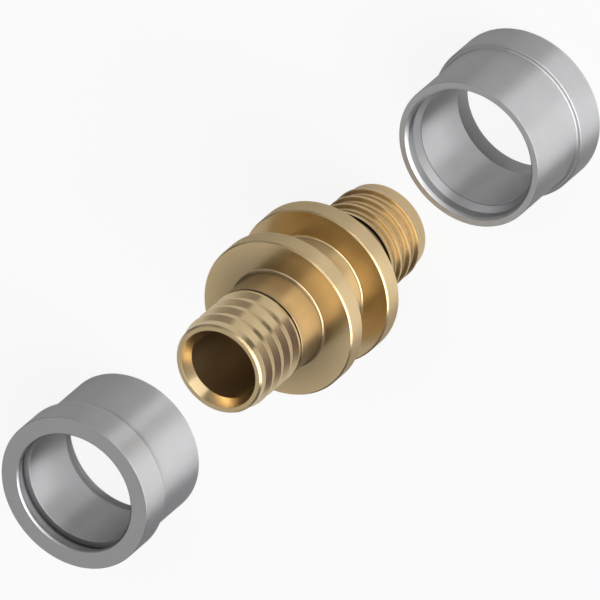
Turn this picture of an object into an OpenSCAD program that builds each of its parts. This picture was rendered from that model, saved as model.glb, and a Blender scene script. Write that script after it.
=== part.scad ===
// Straight coupling for multilayer pipe, in millimetres.
// One turned brass body carries a barbed spigot at each end, and each pipe end is pushed over
// a spigot and held there by a steel sleeve that is pressed on along the pipe.
// The three pieces are drawn apart, and each stands on its own end on one plane.
// The origin is on the body's axis at its middle, with Z along that axis.

/* [Barbed spigots] */
// Diameter over the barbs, which grip the inside of the pipe
crest_d = 14.2; // [12:0.1:26]
// Height of a barb above the root beside it
barb_h = 0.4; // [0.2:0.05:0.7]
// Barbs on each spigot
barb_count = 4; // [2:1:6]
// Length of the flank that rises from the tip's side
ramp_len = 1.1; // [0.5:0.05:2]
// Length of the flat crest of a barb
land_len = 0.4; // [0.2:0.05:1]
// Length of the root between one barb's back and the next barb's flank
root_len = 0.94; // [0.4:0.02:2]
// Length of the plain nose in front of the first barb
nose_len = 1.36; // [0.8:0.02:3]
// Chamfer round the end of the nose
nose_chamfer = 0.28; // [0.1:0.02:0.5]
// Width of the groove behind the last barb
groove_w = 0.48; // [0.2:0.02:1.2]
// Depth of that groove below the root
groove_deep = 0.2; // [0.05:0.05:0.5]
// Length of the plain hub between the groove and the flange
hub_len = 5.54; // [3:0.02:10]
// How far the hub lies below the barb crests, as a radius
hub_drop = 0.05; // [0:0.01:0.3]
// Broken edge at the hub's groove end
hub_break = 0.08; // [0.02:0.02:0.3]

/* [Flow bore] */
// Wall between the flow bore and the root of the barbs
spigot_wall = 1.7; // [1.2:0.05:3]
// Width of the flat ring round the bore's mouth, on the spigot's end face
tip_wall = 0.59; // [0.3:0.01:0.9]
// Length of the conical lead-in at each mouth
lead_in_len = 1.4; // [0.5:0.05:4]

/* [Flanges and waist] */
// Thickness of each flange that the pressing jaws bear on
flange_t = 3.05; // [2:0.05:6]
// Chamfer on the rims of the flanges
flange_chamfer = 0.2; // [0.1:0.05:0.6]
// Width of the jaw groove between the flanges
waist_len = 7; // [4:0.1:14]
// How far the waist stands above the barb crests, as a radius
waist_step = 0.35; // [0.1:0.05:2]
// Fillet at the foot of each flange face
fillet_r = 0.5; // [0.2:0.05:1.2]

/* [Press sleeves] */
// Room between a barb crest and the sleeve's bore, for the pipe's squeezed wall
pipe_gap = 1.825; // [1.2:0.025:3]
// Wall of the sleeve's barrel
barrel_wall = 1.95; // [1.4:0.05:4]
// How far the collar stands above the barrel, as a radius
collar_step = 0.775; // [0.4:0.025:2]
// Length of the collar
collar_len = 5.12; // [3.6:0.02:8]
// Gap left between a pressed sleeve and the end of the spigot
sleeve_setback = 0.4; // [0:0.1:2]
// Broken edge on the sleeve's outer rims
edge_break = 0.1; // [0.05:0.05:0.4]
// Fillet at the foot of the collar
shoulder_fillet = 0.4; // [0.2:0.05:0.6]
// Chamfer at the collar's mouth
mouth_chamfer = 0.28; // [0.1:0.02:0.6]
// Land of the lip behind that chamfer
lip_land = 0.12; // [0.05:0.01:0.6]
// Depth of the undercut behind the lip, as a radius
undercut_deep = 1.075; // [0.4:0.025:1.3]
// Distance from the collar's face to the undercut's step
undercut_len = 3; // [1.5:0.05:4]
// Depth of the relief in the thin end, as a radius
relief_deep = 0.675; // [0.3:0.025:1]
// Length of the relief, from the end face to the throat
relief_len = 1.56; // [0.8:0.02:3]
// Chamfer at the relief's mouth
relief_chamfer = 0.385; // [0.1:0.005:0.5]
// Length of the conical throat between the relief and the bore
throat_len = 1.13; // [0.4:0.01:3]

/* [Layout] */
// Clear space between the flanges and the sleeve in front
front_gap = 10.3; // [2:0.1:60]
// Clear space between the flanges and the sleeve at the back
rear_gap = 37.7; // [2:0.1:80]

/* [Hidden] */
$fn = 96;
// Fillet pieces reach this far into the metal that they join
seat = 0.05;

// Radii of the body
crest_r = crest_d / 2;
root_r = crest_r - barb_h;
groove_r = root_r - groove_deep;
hub_r = crest_r - hub_drop;
waist_r = crest_r + waist_step;
bore_r = root_r - spigot_wall;
nose_r = root_r - nose_chamfer;
mouth_r = nose_r - tip_wall;

// Radii of the sleeves, worked out from the spigot that they clamp
sleeve_bore_r = crest_r + pipe_gap;
barrel_r = sleeve_bore_r + barrel_wall;
collar_r = barrel_r + collar_step;
undercut_r = sleeve_bore_r + undercut_deep;
relief_r = sleeve_bore_r + relief_deep;

// A pressed sleeve's collar is as wide as the flange beside it
flange_r = collar_r;

// Heights above the body's middle, from the waist to the tip
flange_z = waist_len / 2;
hub_z = flange_z + flange_t;
groove_z = hub_z + hub_len;
barbs_z = groove_z + groove_w;
pitch = ramp_len + land_len + root_len;
tip_z = barbs_z + barb_count * pitch - root_len + nose_len;

// The sleeve covers the spigot up to its setback
spigot_len = tip_z - hub_z;
sleeve_len = spigot_len - sleeve_setback;

// Everything stands on the plane of the body's lower end
floor_z = -tip_z;
front_y = -(flange_r + front_gap + collar_r);
rear_y = flange_r + rear_gap + collar_r;

// The same points seen in the plane z = 0, walked the other way
function mirrored(points) = [for (i = [len(points) - 1:-1:0]) [points[i][0], -points[i][1]]];

// Rim of the upper flange, from its foot on the waist to its foot on the hub
function flange_edge() = [
    [waist_r, flange_z],
    [flange_r - flange_chamfer, flange_z],
    [flange_r, flange_z + flange_chamfer],
    [flange_r, hub_z - flange_chamfer],
    [flange_r - flange_chamfer, hub_z],
    [hub_r, hub_z]
];

// Hub and the near wall of the groove behind the barbs
function hub_edge() = [
    [hub_r, groove_z - hub_break],
    [hub_r - hub_break, groove_z],
    [groove_r, groove_z]
];

// Barbs from the groove to the nose: a square back, a flat crest and a flank falling to the tip
function barb_edge() = [
    for (i = [0:barb_count - 1])
        let (back_z = barbs_z + i * pitch)
            let (foot_r = i == 0 ? groove_r : root_r)
                each [
                    [foot_r, back_z],
                    [crest_r, back_z],
                    [crest_r, back_z + land_len],
                    [root_r, back_z + land_len + ramp_len]
                ]
];

// Nose, end face, lead-in cone and the start of the flow bore
function nose_edge() = [
    [root_r, tip_z - nose_chamfer],
    [nose_r, tip_z],
    [mouth_r, tip_z],
    [bore_r, tip_z - lead_in_len]
];

// Half section of a sleeve that stands on its collar, from the collar's face round to its mouth
function sleeve_edge() = [
    [collar_r - edge_break, 0],
    [collar_r, edge_break],
    [collar_r, collar_len - edge_break],
    [collar_r - edge_break, collar_len],
    [barrel_r, collar_len],
    [barrel_r, sleeve_len - edge_break],
    [barrel_r - edge_break, sleeve_len],
    [relief_r + relief_chamfer, sleeve_len],
    [relief_r, sleeve_len - relief_chamfer],
    [relief_r, sleeve_len - relief_len],
    [sleeve_bore_r, sleeve_len - relief_len - throat_len],
    [sleeve_bore_r, undercut_len],
    [undercut_r, undercut_len],
    [sleeve_bore_r, mouth_chamfer + lip_land],
    [sleeve_bore_r, mouth_chamfer],
    [sleeve_bore_r + mouth_chamfer, 0]
];

// Fillet of a half section, in a corner with metal to its left and below
module corner_fillet(radius) {
    difference() {
        translate([-seat, -seat])
            square(radius + seat);
        translate([radius, radius])
            circle(radius);
    }
}

// Fillets at the two feet of the upper flange
module flange_fillets() {
    translate([hub_r, hub_z])
        corner_fillet(fillet_r);
    translate([waist_r, flange_z])
        mirror([0, 1])
            corner_fillet(fillet_r);
}

module body_section() {
    upper = concat(flange_edge(), hub_edge(), barb_edge(), nose_edge());
    polygon(concat(upper, mirrored(upper)));
    flange_fillets();
    mirror([0, 1])
        flange_fillets();
}

// One-piece turned body: two flanges round a narrow waist, and a barbed spigot at each end
module coupling_body() {
    color([0.78, 0.65, 0.42])
        rotate_extrude()
            body_section();
}

module sleeve_section() {
    polygon(sleeve_edge());
    translate([barrel_r, collar_len])
        corner_fillet(shoulder_fillet);
}

// Turned sleeve with a stepped bore, standing on its collar
module press_sleeve() {
    color([0.62, 0.62, 0.63])
        rotate_extrude()
            sleeve_section();
}

// Front sleeve, collar down
module press_sleeve_front() {
    translate([0, front_y, floor_z])
        press_sleeve();
}

// Rear sleeve, turned over to stand on its thin end
module press_sleeve_rear() {
    translate([0, rear_y, floor_z + sleeve_len])
        rotate([180, 0, 0])
            press_sleeve();
}

coupling_body();
press_sleeve_front();
press_sleeve_rear();
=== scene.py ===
import bpy
import numpy as np
from mathutils import Matrix, Vector


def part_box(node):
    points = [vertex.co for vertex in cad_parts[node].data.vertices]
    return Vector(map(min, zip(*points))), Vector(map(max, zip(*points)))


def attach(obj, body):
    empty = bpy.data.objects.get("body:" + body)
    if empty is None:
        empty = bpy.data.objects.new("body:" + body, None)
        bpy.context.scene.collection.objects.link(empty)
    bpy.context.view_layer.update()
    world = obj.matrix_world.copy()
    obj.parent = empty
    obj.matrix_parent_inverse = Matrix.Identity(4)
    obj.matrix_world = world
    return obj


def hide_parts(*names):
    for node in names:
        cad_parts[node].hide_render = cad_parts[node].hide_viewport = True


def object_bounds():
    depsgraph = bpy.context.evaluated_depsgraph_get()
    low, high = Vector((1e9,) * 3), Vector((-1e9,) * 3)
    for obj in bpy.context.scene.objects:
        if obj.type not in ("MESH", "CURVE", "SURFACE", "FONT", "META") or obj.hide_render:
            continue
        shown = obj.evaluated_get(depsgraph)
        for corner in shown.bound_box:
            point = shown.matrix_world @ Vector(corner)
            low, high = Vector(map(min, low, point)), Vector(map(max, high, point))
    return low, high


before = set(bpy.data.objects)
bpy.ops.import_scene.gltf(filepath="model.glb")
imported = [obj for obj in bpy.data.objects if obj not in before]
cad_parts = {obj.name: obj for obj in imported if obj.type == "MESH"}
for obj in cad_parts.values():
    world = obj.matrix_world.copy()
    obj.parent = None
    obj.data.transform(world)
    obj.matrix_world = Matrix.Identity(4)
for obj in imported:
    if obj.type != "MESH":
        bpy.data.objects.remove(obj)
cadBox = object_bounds()
mm = 0.001

# The photo's view: the camera stands far off, looks down at the standing pieces, and is rolled by the
# picture turn. Angles are in degrees, the sensor's width is in millimetres, and the rest is in metres.
view = {
    "elevation": 49.03,
    "pictureTurn": 130.65,
    "frameWidth": 81.98 * mm,
    "aim": (-0.087 * mm, 0.0, 0.524 * mm),
    "distance": 3.5,
    "clipStart": 0.1,
    "clipEnd": 20.0,
    "sensorWidth": 36.0,
}


def placeCamera(view):
    # The camera looks against its back axis at the aim, and the picture turn swings right and up about that
    # axis. The lens makes the picture as wide as the frame width at the aim.
    tilt = np.radians(view["elevation"])
    turn = np.radians(view["pictureTurn"])
    back = np.array([0.0, -np.cos(tilt), np.sin(tilt)])
    levelRight = np.array([1.0, 0.0, 0.0])
    levelUp = np.array([0.0, np.sin(tilt), np.cos(tilt)])
    right = levelRight * np.cos(turn) - levelUp * np.sin(turn)
    up = levelRight * np.sin(turn) + levelUp * np.cos(turn)
    data = bpy.data.cameras.new("photoCamera")
    data.sensor_width = view["sensorWidth"]
    data.lens = view["sensorWidth"] * view["distance"] / view["frameWidth"]
    data.clip_start = view["clipStart"]
    data.clip_end = view["clipEnd"]
    camera = bpy.data.objects.new("photoCamera", data)
    place = Matrix(np.column_stack([right, up, back]).tolist()).to_4x4()
    place.translation = Vector(view["aim"]) + Vector(back) * view["distance"]
    camera.matrix_world = place
    bpy.context.scene.collection.objects.link(camera)
    bpy.context.scene.camera = camera


placeCamera(view)
print("camera placed")


# Meshes

# Points of an outline that are closer than the least gap, in millimetres, count as one. The last three
# values are for the level part of the outline's normal, which is 1 on an upright wall and 0 on a flat face.
turning = {
    "arcSteps": 4,
    "segments": 256,
    "leastGap": 1e-6,
    "wallStart": 0.87,
    "wallFade": 0.1,
    "slopeFull": 0.25,
}

# A section's rows times this are upside down
heightMirrored = np.array([1, -1, 1, 1, 1])


def roundedOutline(corners, radii, steps):
    # Each corner of the closed outline becomes an arc tangent to both edges. The arc starts
    # radius * tan(turn / 2) before the corner, and its normals swing evenly from edge to edge.
    # The outline runs with its metal on the left, so the normals point to the right.
    before = np.roll(corners, 1, axis=0)
    after = np.roll(corners, -1, axis=0)
    inward = (corners - before) / np.linalg.norm(corners - before, axis=1)[:, None]
    onward = (after - corners) / np.linalg.norm(after - corners, axis=1)[:, None]
    turn = np.arctan2(
        inward[:, 0] * onward[:, 1] - inward[:, 1] * onward[:, 0], (inward * onward).sum(axis=1)
    )
    start = corners - inward * (radii * np.tan(np.abs(turn) / 2))[:, None]
    heading = np.arctan2(inward[:, 1], inward[:, 0])[:, None] + turn[:, None] * np.linspace(0, 1, steps + 1)
    normals = np.stack([np.sin(heading), -np.cos(heading)], axis=-1)
    swing = (np.sign(turn) * radii)[:, None, None]
    points = start[:, None, :] + swing * (normals - normals[:, :1])
    return points.reshape(-1, 2), normals.reshape(-1, 2)


def turnedPiece(name, section, centre):
    # A closed outline of radius and height, in millimetres, carried round the upright line through centre:
    # x = radius * cos(angle), y = radius * sin(angle), z = height. V of the UV map is the length along it.
    # A row of the section is a corner's radius, height and rounding, how brushed a wall there is, and how
    # much painted shade darkens the metal there, in recesses, corners and over some edge highlights.
    steps, segments = turning["arcSteps"], turning["segments"]
    outline, outlineNormals = roundedOutline(section[:, :2], section[:, 2], steps)
    brushed, paintedShade = np.repeat(section[:, 3:], steps + 1, axis=0).T
    apart = np.linalg.norm(outline - np.roll(outline, 1, axis=0), axis=1) > turning["leastGap"]
    outline, outlineNormals = outline[apart], outlineNormals[apart]
    brushed, paintedShade = brushed[apart], paintedShade[apart]
    rows = len(outline)
    angle = np.arange(segments) * 2 * np.pi / segments
    spin = np.stack([np.cos(angle), np.sin(angle)], axis=-1)

    def carried(profile):
        flat = profile[:, None, :1] * spin[None]
        height = np.broadcast_to(profile[:, None, 1:], (rows, segments, 1))
        return np.concatenate([flat, height], axis=2).reshape(-1, 3)

    places = carried(outline) * mm + np.array(centre) * mm
    row, column = np.meshgrid(np.arange(rows), np.arange(segments), indexing="ij")
    nextRow = (row + 1) % rows
    nextColumn = (column + 1) % segments
    quads = np.stack([
        row * segments + column,
        row * segments + nextColumn,
        nextRow * segments + nextColumn,
        nextRow * segments + column,
    ], axis=-1).reshape(-1, 4)
    stepLength = np.linalg.norm(np.roll(outline, -1, axis=0) - outline, axis=1)
    along = np.concatenate([[0], np.cumsum(stepLength)])
    aroundLow, aroundHigh = column / segments, (column + 1) / segments
    alongLow, alongHigh = along[row], along[row + 1]
    uv = np.stack(
        [aroundLow, alongLow, aroundHigh, alongLow, aroundHigh, alongHigh, aroundLow, alongHigh], axis=-1
    ).reshape(-1)

    # A brushed share counts up to 1 on walls, and fades out where the outline leans by up to 30 degrees.
    # What it has above 1 stays on slopes that lean further, but not on a face.
    level = np.abs(outlineNormals[:, 0])
    wall = np.clip((level - turning["wallStart"]) / turning["wallFade"], 0, 1)
    slope = np.clip(level / turning["slopeFull"], 0, 1) - wall
    # The second share is painted shade: it mixes a dark colour into the metal in recesses and corners, and
    # over some edge highlights.
    shares = {
        "brushed": np.minimum(brushed, 1) * wall + np.maximum(brushed - 1, 0) * slope,
        "paintedShade": paintedShade,
    }

    mesh = bpy.data.meshes.new(name)
    mesh.from_pydata(places.tolist(), [], quads.tolist())
    mesh.uv_layers.new(name="outlineMap").data.foreach_set("uv", uv.astype(np.float32))
    for share, values in shares.items():
        values = np.repeat(values, segments).astype(np.float32)
        mesh.attributes.new(share, "FLOAT", "POINT").data.foreach_set("value", values)
    mesh.polygons.foreach_set("use_smooth", np.ones(len(quads), bool))
    mesh.normals_split_custom_set_from_vertices(carried(outlineNormals).tolist())
    mesh.update()
    piece = bpy.data.objects.new(name, mesh)
    bpy.context.scene.collection.objects.link(piece)
    print(name, "has", len(quads), "faces")
    return piece


# Materials

# A Mix node has sockets for every kind of data. A colour uses these: the share, the two colours and the
# result.
mixShare, mixFirst, mixSecond, mixResult = 0, 6, 7, 2


class Socket:
    # Wraps a node's output so that shader maths reads as plain maths
    def __init__(self, nodes, output):
        self.nodes = nodes
        self.output = output

    def maths(self, operation, *values):
        return self.nodes.add("ShaderNodeMath", {"operation": operation}, values)

    def __add__(self, other):
        return self.maths("ADD", self, other)

    def __sub__(self, other):
        return self.maths("SUBTRACT", self, other)

    def __rsub__(self, other):
        return self.maths("SUBTRACT", other, self)

    def __mul__(self, other):
        return self.maths("MULTIPLY", self, other)

    def __truediv__(self, other):
        return self.maths("DIVIDE", self, other)

    def __rtruediv__(self, other):
        return self.maths("DIVIDE", other, self)

    __radd__ = __add__
    __rmul__ = __mul__


class Nodes:
    # Fills a material's or world's tree, one call for each node
    def __init__(self, tree):
        self.tree = tree
        tree.nodes.clear()

    def add(self, kind, settings=None, inputs=None, output=0):
        # One node: its settings first, then what goes into its sockets, as a list or a dictionary by name
        node = self.tree.nodes.new(kind)
        for key, value in (settings or {}).items():
            if key == "stops":
                elements = node.color_ramp.elements
                for place, (position, colour) in enumerate(value):
                    element = elements[place] if place < len(elements) else elements.new(position)
                    element.position = position
                    element.color = colour
            else:
                setattr(node, key, value)
        given = inputs.items() if isinstance(inputs, dict) else enumerate(inputs or [])
        for key, value in given:
            if isinstance(value, Socket):
                self.tree.links.new(value.output, node.inputs[key])
            else:
                node.inputs[key].default_value = value
        return Socket(self, node.outputs[output]) if node.outputs else None


# The pitches are in millimetres, as V of the UV map is, and a mark's depth is in metres
brass = {
    "light": (0.73, 0.562, 0.325, 1.0),
    "dark": (0.67, 0.51, 0.285, 1.0),
    # Dark colour of the painted shade, mixed in at recesses, corners and over some edge highlights
    "paintedShade": (0.10, 0.07, 0.045, 1.0),
    "wallRoughness": 0.48,
    "wallAnisotropy": 1.0,
    "wallMetallic": 0.8,
    "faceRoughness": 0.24,
    "faceMetallic": 1.0,
    "markPitch": 0.16,
    "bandPitch": 1.6,
    "markDepth": 0.00025 * mm,
}

steel = {
    "light": (0.595, 0.597, 0.607, 1.0),
    "dark": (0.553, 0.555, 0.563, 1.0),
    # Dark colour of the painted shade, mixed in at recesses, corners and over some edge highlights
    "paintedShade": (0.06, 0.06, 0.062, 1.0),
    "wallRoughness": 0.5,
    "wallAnisotropy": 1.0,
    "wallMetallic": 1.0,
    "faceRoughness": 0.36,
    "faceMetallic": 1.0,
    "markPitch": 0.2,
    "bandPitch": 1.6,
    "markDepth": 0.0003 * mm,
}

# What both finishes have in common. The cloud scale is per metre, and the shares weigh the three noises in
# the colour. The stops are where the dark and the light colour stand, and the noises vary about their
# middle. The brush turn is in whole turns.
pattern = {
    "ringDetail": 2.0,
    "bandDetail": 1.0,
    "cloudScale": 220.0,
    "cloudDetail": 3.0,
    "ringShare": 0.3,
    "bandShare": 0.2,
    "cloudShare": 0.5,
    "darkStop": 0.35,
    "lightStop": 0.65,
    "middle": 0.5,
    "glossChange": 0.05,
    "brushTurn": 0.25,
}


def turnedMetal(name, finish):
    # Fine rings and wide bands follow the length along the outline, and clouds lie over them. They vary the
    # colour, and the rings and clouds vary the gloss. Walls stretch what they mirror along the axis, and
    # faced ends mirror evenly.
    material = bpy.data.materials.new(name)
    material.use_nodes = True
    nodes = Nodes(material.node_tree)
    outlineMap = nodes.add("ShaderNodeUVMap", {"uv_map": "outlineMap"})
    along = nodes.add("ShaderNodeSeparateXYZ", None, [outlineMap], "Y")
    place = nodes.add("ShaderNodeTexCoord", None, None, "Object")

    def noiseAlong(pitch, detail):
        vector = nodes.add("ShaderNodeCombineXYZ", None, [along / pitch, 0.0, 0.0])
        return nodes.add("ShaderNodeTexNoise", None, {"Vector": vector, "Scale": 1.0, "Detail": detail})

    rings = noiseAlong(finish["markPitch"], pattern["ringDetail"])
    bands = noiseAlong(finish["bandPitch"], pattern["bandDetail"])
    clouds = nodes.add("ShaderNodeTexNoise", None, {
        "Vector": place,
        "Scale": pattern["cloudScale"],
        "Detail": pattern["cloudDetail"],
    })
    tone = clouds * pattern["cloudShare"] + rings * pattern["ringShare"] + bands * pattern["bandShare"]
    stops = [(pattern["darkStop"], finish["dark"]), (pattern["lightStop"], finish["light"])]
    clean = nodes.add("ShaderNodeValToRGB", {"stops": stops}, [tone])
    # Painted shade: the vertex share mixes the colour towards the dark painted-shade colour, darkening
    # recesses, corners and some edge highlights.
    paintedShade = nodes.add("ShaderNodeAttribute", {"attribute_name": "paintedShade"}, None, "Fac")
    colour = nodes.add("ShaderNodeMix", {"data_type": "RGBA"}, {
        mixShare: paintedShade,
        mixFirst: clean,
        mixSecond: finish["paintedShade"],
    }, mixResult)
    ringGloss = (rings - pattern["middle"]) * pattern["glossChange"]
    cloudGloss = (clouds - pattern["middle"]) * pattern["glossChange"]
    grain = ringGloss + cloudGloss
    bump = nodes.add("ShaderNodeBump", None, {"Distance": finish["markDepth"], "Height": rings})
    walls = nodes.add("ShaderNodeBsdfPrincipled", None, {
        "Base Color": colour,
        "Metallic": finish["wallMetallic"],
        "Roughness": grain + finish["wallRoughness"],
        "Normal": bump,
        "Anisotropic": finish["wallAnisotropy"],
        "Anisotropic Rotation": pattern["brushTurn"],
    })
    faces = nodes.add("ShaderNodeBsdfPrincipled", None, {
        "Base Color": colour,
        "Metallic": finish["faceMetallic"],
        "Roughness": grain + finish["faceRoughness"],
        "Normal": bump,
    })
    brushed = nodes.add("ShaderNodeAttribute", {"attribute_name": "brushed"}, None, "Fac")
    mixed = nodes.add("ShaderNodeMixShader", None, [brushed, faces, walls])
    nodes.add("ShaderNodeOutputMaterial", None, [mixed])
    return material


brassFinish = turnedMetal("turnedBrass", brass)
steelFinish = turnedMetal("turnedSteel", steel)
print("finishes made")


# Coupling body

# Lengths are in millimetres. The brushed and painted shade values are shares, as in a section's rows.
body = {
    "crestRadius": 7.1,
    "barbHeight": 0.4,
    "barbCount": 4,
    "rampLength": 1.1,
    "landLength": 0.4,
    "rootLength": 0.94,
    "noseLength": 1.36,
    "noseChamfer": 0.28,
    "grooveWidth": 0.48,
    "grooveDepth": 0.2,
    "hubLength": 5.54,
    "hubDrop": 0.05,
    "hubBreak": 0.08,
    "spigotWall": 1.7,
    "tipWall": 0.59,
    "leadInLength": 1.4,
    "flangeThickness": 3.05,
    "flangeRadius": 11.65,
    "flangeChamfer": 0.2,
    "waistLength": 7.0,
    "waistStep": 0.35,
    "footFillet": 0.5,
    "edgeRadius": 0.03,
    "rimBrushed": 1.0,
    "hubBrushed": 0.4,
    # Painted shade on the hub, darkening its highlight and what the flange face mirrors of it
    "hubPaintedShade": 0.44,
    "waistBrushed": 1.0,
    "boreBrushed": 0.07,
    # Painted shade in the groove and at the barbs' feet, where shade falls in the recesses
    "groovePaintedShade": 0.95,
    "grooveEdgePaintedShade": 0.75,
    "barbFootPaintedShade": 0.5,
}


def couplingBody(size):
    # Upper half of the section from the flange's foot on the waist to the flow bore, then its mirror image
    crest = size["crestRadius"]
    root = crest - size["barbHeight"]
    groove = root - size["grooveDepth"]
    hub = crest - size["hubDrop"]
    waist = crest + size["waistStep"]
    nose = root - size["noseChamfer"]
    bore = root - size["spigotWall"]
    rim = size["flangeRadius"]
    bevel = size["flangeChamfer"]
    fillet = size["footFillet"]
    edge = size["edgeRadius"]
    rimShare = size["rimBrushed"]
    hubShare = size["hubBrushed"]
    hubShade = size["hubPaintedShade"]
    flangeLow = size["waistLength"] / 2
    flangeHigh = flangeLow + size["flangeThickness"]
    grooveLow = flangeHigh + size["hubLength"]
    barbs = grooveLow + size["grooveWidth"]
    pitch = size["rampLength"] + size["landLength"] + size["rootLength"]
    tip = barbs + size["barbCount"] * pitch - size["rootLength"] + size["noseLength"]
    # The last column is painted shade: dark colour in the groove, at the barbs' feet and over the hub.
    corners = [
        (waist, flangeLow, fillet, size["waistBrushed"], 0),
        (rim - bevel, flangeLow, edge, 0, 0),
        (rim, flangeLow + bevel, edge, rimShare, 0),
        (rim, flangeHigh - bevel, edge, rimShare, 0),
        (rim - bevel, flangeHigh, edge, 0, 0),
        (hub, flangeHigh, fillet, hubShare, hubShade),
        (hub, grooveLow - size["hubBreak"], edge, hubShare, hubShade),
        (hub - size["hubBreak"], grooveLow, edge, 0, size["grooveEdgePaintedShade"]),
        (groove, grooveLow, edge, 0, size["groovePaintedShade"]),
    ]
    for barb in range(size["barbCount"]):
        back = barbs + barb * pitch
        ramp = back + size["landLength"]
        footRadius = root if barb else groove
        footShade = size["barbFootPaintedShade"] if barb else size["groovePaintedShade"]
        corners += [
            (footRadius, back, edge, 0, footShade),
            (crest, back, edge, 0, 0),
            (crest, ramp, edge, 0, 0),
            (root, ramp + size["rampLength"], edge, 0, 0),
        ]
    corners += [
        (root, tip - size["noseChamfer"], edge, 0, 0),
        (nose, tip, edge, 0, 0),
        (nose - size["tipWall"], tip, edge, 0, 0),
        (bore, tip - size["leadInLength"], edge, size["boreBrushed"], 0),
    ]
    upper = np.array(corners)
    lower = upper[::-1] * heightMirrored
    section = np.concatenate([upper, lower])
    piece = turnedPiece("turnedBody", section, (0, 0, 0))
    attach(piece, "root")
    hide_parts("coupling_body")
    piece.data.materials.append(brassFinish)


couplingBody(body)


# Press sleeves

# Lengths are in millimetres. The undercut line and the throat line are how wide the painted shade lines in
# those corners are, and the undercut fade is how far up the slanted wall its painted shade line starts, as
# a part of the slant.
sleeve = {
    "length": 15.8,
    "boreRadius": 8.925,
    "barrelWall": 1.95,
    "collarStep": 0.775,
    "collarLength": 5.12,
    "edgeBreak": 0.06,
    "shoulderFillet": 0.4,
    "shoulderRound": 0.35,
    "mouthChamfer": 0.28,
    "lipLand": 0.12,
    "undercutDepth": 1.075,
    "undercutLength": 3.0,
    "reliefDepth": 0.675,
    "reliefLength": 1.56,
    "reliefChamfer": 0.385,
    "throatLength": 1.13,
    "edgeRadius": 0.04,
    "wallBrushed": 1.0,
    "rimBrushed": 1.8,
    "shoulderBrushed": 1.6,
    # Painted shade shares: the lip and relief chamfers are darkened over their highlights, and the undercut,
    # relief and throat line darken as shaded recesses.
    "lipPaintedShade": 0.7,
    "undercutPaintedShade": 0.15,
    "undercutFade": 0.6,
    "undercutLine": 0.25,
    "undercutLinePaintedShade": 0.9,
    "throatLine": 0.1,
    "throatLinePaintedShade": 0.75,
    "reliefPaintedShade": 0.45,
    "chamferPaintedShade": 0.35,
}


def pressSleeve(name, node, size, turnedOver):
    # Section of a sleeve on its collar. Turned over, its heights run down from its length, in reverse order.
    # Corners with no rounding lie on straight lines, where only the painted shade share changes.
    bore = size["boreRadius"]
    barrel = bore + size["barrelWall"]
    collar = barrel + size["collarStep"]
    relief = bore + size["reliefDepth"]
    undercut = bore + size["undercutDepth"]
    length = size["length"]
    shoulder = size["collarLength"]
    cut = size["edgeBreak"]
    edge = size["edgeRadius"]
    share = size["wallBrushed"]
    rimShare = size["rimBrushed"]
    shoulderShare = size["shoulderBrushed"]
    throat = length - size["reliefLength"]
    boreTop = throat - size["throatLength"]
    line = size["throatLine"]
    coneLow = line / size["throatLength"]
    coneHigh = 1 - coneLow
    coneLowRadius = bore + coneLow * size["reliefDepth"]
    coneHighRadius = bore + coneHigh * size["reliefDepth"]
    coneHighTop = boreTop + coneHigh * size["throatLength"]
    step = size["undercutLength"]
    undercutShade = size["undercutPaintedShade"]
    lipTop = size["mouthChamfer"] + size["lipLand"]
    fadeRadius = bore + size["undercutFade"] * size["undercutDepth"]
    fadeHeight = lipTop + size["undercutFade"] * (step - lipTop)
    # The last column is painted shade, darkest in the undercut's corner, at the throat line and over the
    # lip's chamfer.
    section = np.array([
        (collar - cut, 0, edge, rimShare, 0),
        (collar, cut, edge, rimShare, 0),
        (collar, shoulder, size["shoulderRound"], shoulderShare, 0),
        (barrel, shoulder, size["shoulderFillet"], shoulderShare, 0),
        (barrel, length - cut, edge, rimShare, 0),
        (barrel - cut, length, edge, rimShare, 0),
        (relief + size["reliefChamfer"], length, edge, 0, 0),
        (relief, length - size["reliefChamfer"], edge, share, size["chamferPaintedShade"]),
        (relief, throat, edge, share, size["reliefPaintedShade"]),
        (coneHighRadius, coneHighTop, 0, 0, 0),
        (coneLowRadius, boreTop + line, 0, 0, 0),
        (bore, boreTop, edge, share, size["throatLinePaintedShade"]),
        (bore, boreTop - line, 0, share, 0),
        (bore, step, edge, share, 0),
        (undercut - size["undercutLine"], step, 0, 0, undercutShade),
        (undercut, step, edge, 0, size["undercutLinePaintedShade"]),
        (fadeRadius, fadeHeight, 0, 0, undercutShade),
        (bore, lipTop, edge, 0, undercutShade),
        (bore, size["mouthChamfer"], edge, 0, size["lipPaintedShade"]),
        (bore + size["mouthChamfer"], 0, edge, 0, 0),
    ])
    if turnedOver:
        section = section[::-1] * heightMirrored + np.array([0, length, 0, 0, 0])
    low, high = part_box(node)
    centre = ((low[0] + high[0]) / 2 / mm, (low[1] + high[1]) / 2 / mm, low[2] / mm)
    piece = turnedPiece(name, section, centre)
    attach(piece, "root")
    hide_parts(node)
    piece.data.materials.append(steelFinish)


pressSleeve("turnedSleeveFront", "press_sleeve_front", sleeve, False)
pressSleeve("turnedSleeveRear", "press_sleeve_rear", sleeve, True)
print("pieces made")


# Floor and lights

# Lengths are in metres, and the distance is the lamps' own from the origin. A glow is the share of white in
# the floor, for the camera and for mirrors.
studio = {
    "floorColour": (0.62, 0.62, 0.62, 1.0),
    "glowColour": (1.0, 1.0, 1.0, 1.0),
    "floorGlow": 0.88,
    "mirroredGlow": 0.1,
    "floorSize": 6.0,
    "worldColour": (0.17, 0.17, 0.17, 1.0),
    "distance": 2.0,
    "cardFaces": 24,
}

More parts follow.
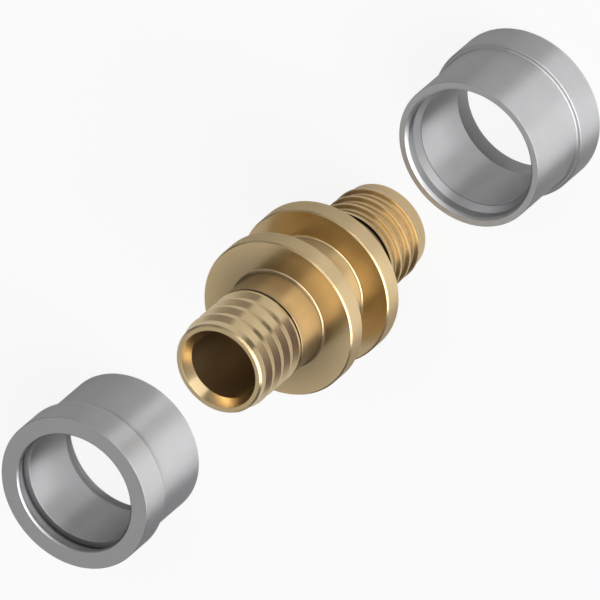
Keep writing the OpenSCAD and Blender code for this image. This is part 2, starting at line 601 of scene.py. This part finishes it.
# Each soft box: azimuth from the front towards the left and elevation of its middle, and the angles that it
# spans round and up, all in degrees, and its radiance, where 1 is white
softBoxes = {
    "highFront": (0.0, 57.5, 60.0, 25.0, 4.4),
    "highLeft": (60.0, 57.5, 60.0, 25.0, 3.5),
    "highRight": (-60.0, 57.5, 60.0, 25.0, 1.3),
    "highFarLeft": (115.0, 50.0, 50.0, 25.0, 0.15),
    "highFarRight": (-115.0, 50.0, 50.0, 25.0, 0.4),
    "left": (54.0, 32.5, 66.0, 25.0, 3.2),
    "right": (-45.0, 32.5, 45.0, 25.0, 0.2),
    "farRight": (-92.0, 20.0, 45.0, 16.0, 0.2),
    "lowFront": (0.0, 10.0, 45.0, 20.0, 1.5),
    "lowRight": (-45.0, 10.0, 45.0, 20.0, 0.1),
    "back": (180.0, 57.5, 60.0, 25.0, 0.52),
}

# Dark cards that only mirrors see, as darker bands along the turned walls: the middle's azimuth and height,
# the distance, the angle and height that the card spans, in degrees and millimetres, and its colour
darkCards = {
    "cardLeft": (80.0, -8.5, 100.0, 140.0, 27.0, (0.17, 0.09, 0.14, 1.0)),
    "cardRight": (-80.0, -8.5, 100.0, 60.0, 27.0, (0.35, 0.33, 0.35, 1.0)),
}


def outward(azimuth, elevation):
    # Unit vector from the origin towards an azimuth and an elevation
    turn, rise = np.radians(azimuth), np.radians(elevation)
    return Vector((-np.sin(turn) * np.cos(rise), -np.cos(turn) * np.cos(rise), np.sin(rise)))


def floorMaterial(studio):
    # Diffuse, mixed with white for what the camera and mirrors see, so that a shadow stays as a faint one
    material = bpy.data.materials.new("paleFloor")
    material.use_nodes = True
    nodes = Nodes(material.node_tree)
    diffuse = nodes.add("ShaderNodeBsdfDiffuse", None, [studio["floorColour"]])
    white = nodes.add("ShaderNodeEmission", None, [studio["glowColour"], 1.0])
    seen = nodes.add("ShaderNodeLightPath", None, None, "Is Camera Ray") * studio["floorGlow"]
    for kind in ("Is Glossy Ray", "Is Transmission Ray"):
        seen = seen + nodes.add("ShaderNodeLightPath", None, None, kind) * studio["mirroredGlow"]
    mixed = nodes.add("ShaderNodeMixShader", None, [seen, diffuse, white])
    nodes.add("ShaderNodeOutputMaterial", None, [mixed])
    return material


def layFloor(studio):
    # A flat square at the height of the model's lowest point
    half = studio["floorSize"] / 2
    height = cadBox[0][2]
    corners = [(-half, -half, height), (half, -half, height), (half, half, height), (-half, half, height)]
    mesh = bpy.data.meshes.new("floor")
    mesh.from_pydata(corners, [], [(0, 1, 2, 3)])
    mesh.materials.append(floorMaterial(studio))
    floor = bpy.data.objects.new("floor", mesh)
    bpy.context.scene.collection.objects.link(floor)


def hangSoftBox(name, reach, azimuth, elevation, spanRound, spanUp, radiance):
    # An area light that faces the origin. A span's width is 2 * distance * tan(span / 2), where the distance
    # of the span round is the level one. The power is radiance * pi * the area.
    levelReach = reach * np.cos(np.radians(elevation))
    data = bpy.data.lights.new(name, "AREA")
    data.shape = "RECTANGLE"
    data.size = 2 * levelReach * np.tan(np.radians(spanRound / 2))
    data.size_y = 2 * reach * np.tan(np.radians(spanUp / 2))
    data.energy = radiance * np.pi * data.size * data.size_y
    light = bpy.data.objects.new(name, data)
    light.location = outward(azimuth, elevation) * reach
    light.rotation_euler = outward(azimuth, elevation).to_track_quat("Z", "Y").to_euler()
    light.visible_camera = False
    bpy.context.scene.collection.objects.link(light)


def standCard(name, faceCount, azimuth, height, reach, spanRound, tall, colour):
    # A curved upright card: x and y follow a circle of radius reach
    columns = faceCount + 1
    turns = np.radians(azimuth + np.linspace(-0.5, 0.5, columns) * spanRound)
    rim = np.stack([-np.sin(turns), -np.cos(turns)], axis=-1) * reach
    low, high = height - tall / 2, height + tall / 2
    corners = [(x * mm, y * mm, z * mm) for z in (low, high) for x, y in rim]
    faces = [(k, k + 1, k + 1 + columns, k + columns) for k in range(faceCount)]
    mesh = bpy.data.meshes.new(name)
    mesh.from_pydata(corners, [], faces)
    material = bpy.data.materials.new("darkCard")
    material.use_nodes = True
    nodes = Nodes(material.node_tree)
    surface = nodes.add("ShaderNodeBsdfDiffuse", None, [colour])
    nodes.add("ShaderNodeOutputMaterial", None, [surface])
    mesh.materials.append(material)
    card = bpy.data.objects.new(name, mesh)
    card.visible_camera = False
    card.visible_diffuse = False
    card.visible_shadow = False
    bpy.context.scene.collection.objects.link(card)


def lightWorld(colour):
    world = bpy.data.worlds.new("studioWorld")
    world.use_nodes = True
    nodes = Nodes(world.node_tree)
    background = nodes.add("ShaderNodeBackground", None, [colour, 1.0])
    nodes.add("ShaderNodeOutputWorld", None, [background])
    bpy.context.scene.world = world


layFloor(studio)
lightWorld(studio["worldColour"])
for softBox, settings in softBoxes.items():
    hangSoftBox(softBox, studio["distance"], *settings)
for card, settings in darkCards.items():
    standCard(card, studio["cardFaces"], *settings)
bpy.context.scene.view_settings.view_transform = "Standard"
print("floor and lights placed")
